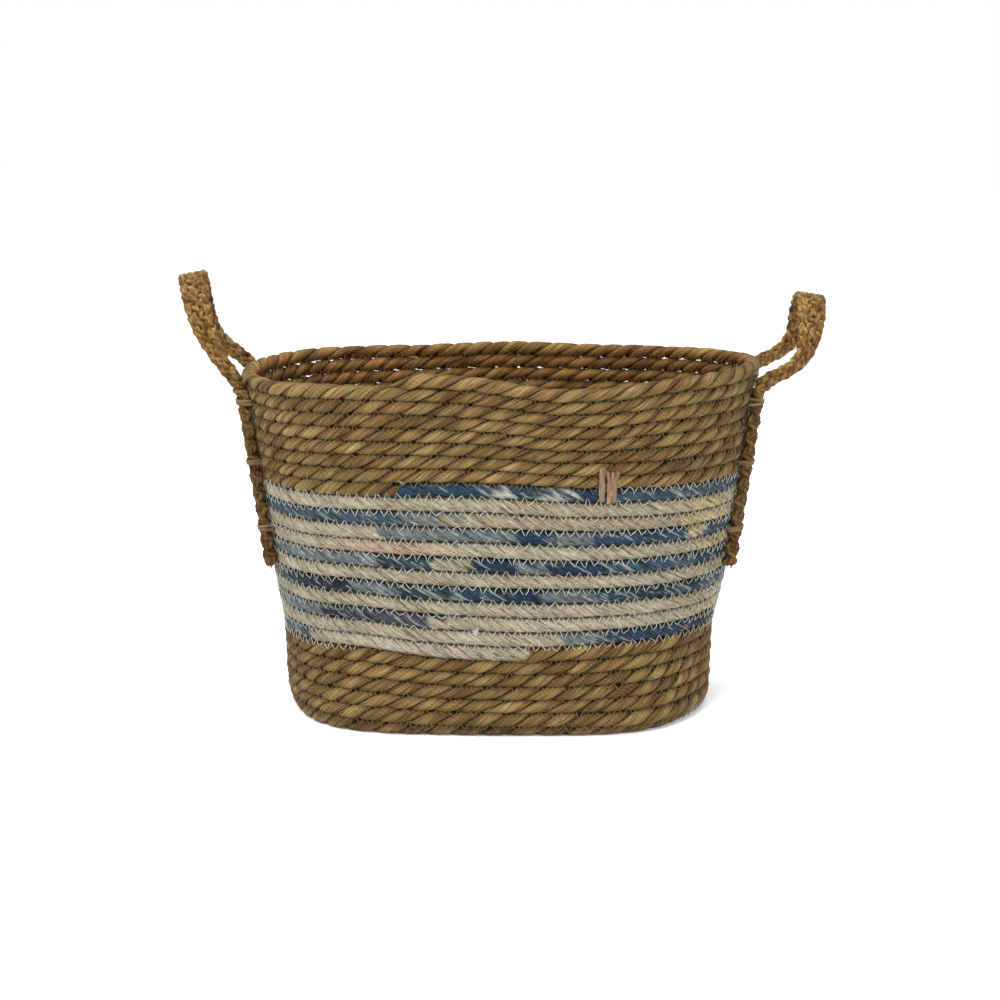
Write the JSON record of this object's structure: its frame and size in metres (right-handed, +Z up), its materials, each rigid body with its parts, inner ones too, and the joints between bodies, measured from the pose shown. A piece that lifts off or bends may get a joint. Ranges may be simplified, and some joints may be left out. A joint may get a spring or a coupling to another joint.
{
  "type": "storage basket",
  "caption": "Oval coiled seagrass storage basket with a striped husk band and a swinging braided rope handle at each end.",
  "frame": {"origin": "centre of the oval, on the surface the basket stands on", "axes": "+Z up through the open mouth, +X along the long side towards the right handle, -Y towards the front"},
  "size_m": [0.4476, 0.2588, 0.3077],
  "materials": {
    "seagrass": "matt twisted seagrass",
    "husk": "matt dyed corn husk",
    "braid": "matt braided seagrass",
    "raffia": "matt raffia"
  },
  "bodies": {
    "basket": {"base_and_lower_rope": "seagrass", "striped_husk_rope": "husk", "upper_rope": "seagrass", "left_front_tail": "braid", "left_back_tail": "braid", "right_front_tail": "braid", "right_back_tail": "braid", "left_front_tie_top": "raffia", "left_front_tie_middle": "raffia", "left_front_tie_bottom": "raffia", "left_back_tie_top": "raffia", "left_back_tie_middle": "raffia", "left_back_tie_bottom": "raffia", "right_front_tie_top": "raffia", "right_front_tie_middle": "raffia", "right_front_tie_bottom": "raffia", "right_back_tie_top": "raffia", "right_back_tie_middle": "raffia", "right_back_tie_bottom": "raffia", "raffia_tab_narrow": "raffia", "raffia_tab_wide": "raffia"},
    "left_handle": {"left_handle_loop": "braid"},
    "right_handle": {"right_handle_loop": "braid"}
  },
  "joints": [
    {"name": "left_handle_swing", "type": "hinge", "parent": "basket", "child": "left_handle", "pos_m": [-0.17711, 0, 0.234], "axis": [0, -1, 0], "range_deg": [-30, 60]},
    {"name": "right_handle_swing", "type": "hinge", "parent": "basket", "child": "right_handle", "pos_m": [0.17711, 0, 0.234], "axis": [0, 1, 0], "range_deg": [-45, 35]}
  ]
}
